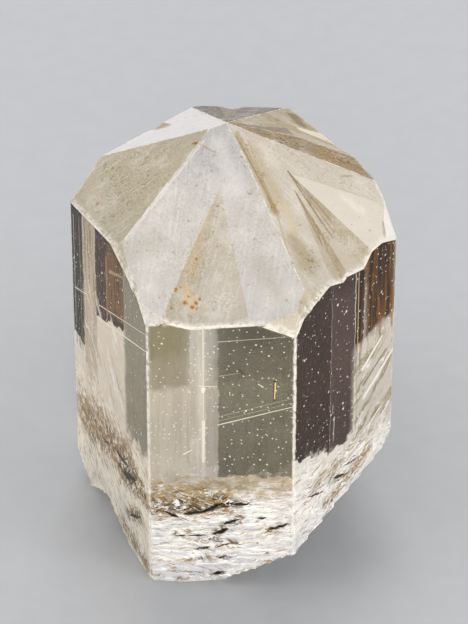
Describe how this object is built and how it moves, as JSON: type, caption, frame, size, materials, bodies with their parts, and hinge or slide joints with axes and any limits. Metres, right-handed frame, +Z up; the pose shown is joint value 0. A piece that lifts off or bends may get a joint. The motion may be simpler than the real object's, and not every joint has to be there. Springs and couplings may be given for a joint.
{
  "type": "phenakite crystal",
  "caption": "Clear six-sided prismatic crystal with a low, ridged twin dome, standing upright on its broken lower end.",
  "frame": {"origin": "under the middle of the crystal's bounding box, on the flat that it rests on", "axes": "+Z up along the prism, towards the dome; -Y is the wide side face that looks to the front"},
  "size_m": [0.0148, 0.0162, 0.0207],
  "materials": {
    "phenakite": "clear, with a slightly frosted dome and a veiled, streaky lower end"
  },
  "bodies": {
    "root": {"crystal": "phenakite"}
  },
  "joints": []
}
